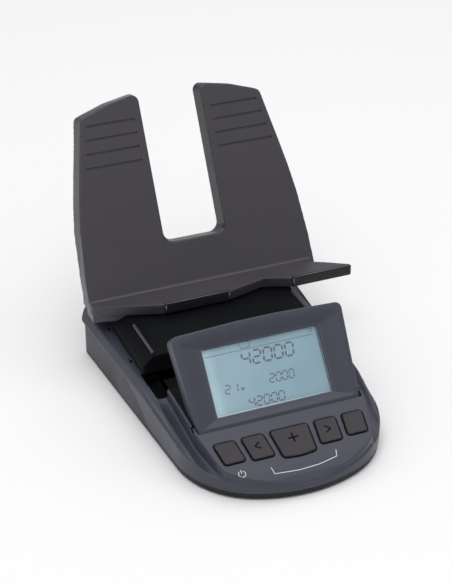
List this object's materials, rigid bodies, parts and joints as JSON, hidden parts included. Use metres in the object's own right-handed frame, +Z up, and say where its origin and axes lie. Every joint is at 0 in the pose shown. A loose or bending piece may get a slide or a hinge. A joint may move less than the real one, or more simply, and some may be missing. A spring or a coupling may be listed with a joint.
{
  "type": "banknote counting scale",
  "caption": "Desktop money-counting scale with a rounded sloping base, a row of keys, a fold-down display, a weighing platform and a lift-off two-winged banknote tray.",
  "frame": {"origin": "middle of the footprint, on the table under the rubber feet", "axes": "+X to the right of a user who faces the display, +Y to the back, +Z up"},
  "size_m": [0.156, 0.2179, 0.1413],
  "materials": {
    "housing": "finely textured dark grey moulded plastic",
    "black_plastic": "near-black moulded plastic with a soft sheen",
    "key": "smooth dark keycaps",
    "tray": "finely textured dark grey-violet moulded plastic",
    "mat": "dull silicone rubber",
    "circuit_board": "green lacquered laminate",
    "screw": "zinc-plated steel",
    "pin": "blackened steel wire",
    "window": "clear window",
    "liquid_crystal": "lit blue-grey display panel with dark digits",
    "cell_metal": "milled aluminium",
    "steel_plate": "cut steel plate",
    "component_black": "moulded black component body",
    "battery_sleeve": "printed shrink sleeve, plain",
    "contact": "plated spring brass",
    "foot_rubber": "soft black rubber"
  },
  "bodies": {
    "base": {"lower_housing": "housing", "upper_housing": "housing", "well_liner": "black_plastic", "key_mat": "mat", "key_board": "circuit_board", "key_board_screws": "screw", "platform": "black_plastic", "weighing_cell": "cell_metal", "cell_base_plate": "steel_plate", "cell_top_plate": "steel_plate", "cell_base_screws": "screw", "cell_top_screws": "screw", "main_board": "circuit_board", "main_board_screws": "screw", "processor": "component_black", "buzzer": "component_black", "power_inlet": "component_black", "battery_1": "battery_sleeve", "battery_2": "battery_sleeve", "battery_3": "battery_sleeve", "battery_4": "battery_sleeve", "battery_contacts": "contact", "housing_screws": "screw", "foot_1": "foot_rubber", "foot_2": "foot_rubber", "foot_3": "foot_rubber", "foot_4": "foot_rubber"},
    "tray": {"tray": "tray"},
    "battery_door": {"battery_door": "housing"},
    "display": {"display_frame": "housing", "display_window": "window", "display_panel": "liquid_crystal", "display_board": "circuit_board", "display_cover": "housing", "display_screws": "screw", "hinge_pin_left": "pin", "hinge_pin_right": "pin"},
    "key_power": {"key_power": "key"},
    "key_back": {"key_back": "key"},
    "key_plus": {"key_plus": "key"},
    "key_next": {"key_next": "key"},
    "key_mode": {"key_mode": "key"}
  },
  "joints": [
    {"name": "display_fold", "type": "hinge", "parent": "base", "child": "display", "pos_m": [0, -0.0432, 0.0235], "axis": [-1, 0, 0], "range_deg": [0, 42]},
    {"name": "tray_lift", "type": "slide", "parent": "base", "child": "tray", "axis": [0, 0, 1], "range_m": [0, 0.02]},
    {"name": "battery_door_open", "type": "hinge", "parent": "base", "child": "battery_door", "pos_m": [0, 0.05865, 0.00195], "axis": [1, 0, 0], "range_deg": [0, 90]},
    {"name": "key_power_press", "type": "slide", "parent": "base", "child": "key_power", "axis": [0, 0.342, -0.9397], "range_m": [0, 0.0012], "stiffness_N_per_m": 800, "springref_m": -0.0005},
    {"name": "key_back_press", "type": "slide", "parent": "base", "child": "key_back", "axis": [0, 0.342, -0.9397], "range_m": [0, 0.0012], "stiffness_N_per_m": 800, "springref_m": -0.0005},
    {"name": "key_plus_press", "type": "slide", "parent": "base", "child": "key_plus", "axis": [0, 0.342, -0.9397], "range_m": [0, 0.0012], "stiffness_N_per_m": 800, "springref_m": -0.0005},
    {"name": "key_next_press", "type": "slide", "parent": "base", "child": "key_next", "axis": [0, 0.342, -0.9397], "range_m": [0, 0.0012], "stiffness_N_per_m": 800, "springref_m": -0.0005},
    {"name": "key_mode_press", "type": "slide", "parent": "base", "child": "key_mode", "axis": [0, 0.342, -0.9397], "range_m": [0, 0.0012], "stiffness_N_per_m": 800, "springref_m": -0.0005}
  ]
}
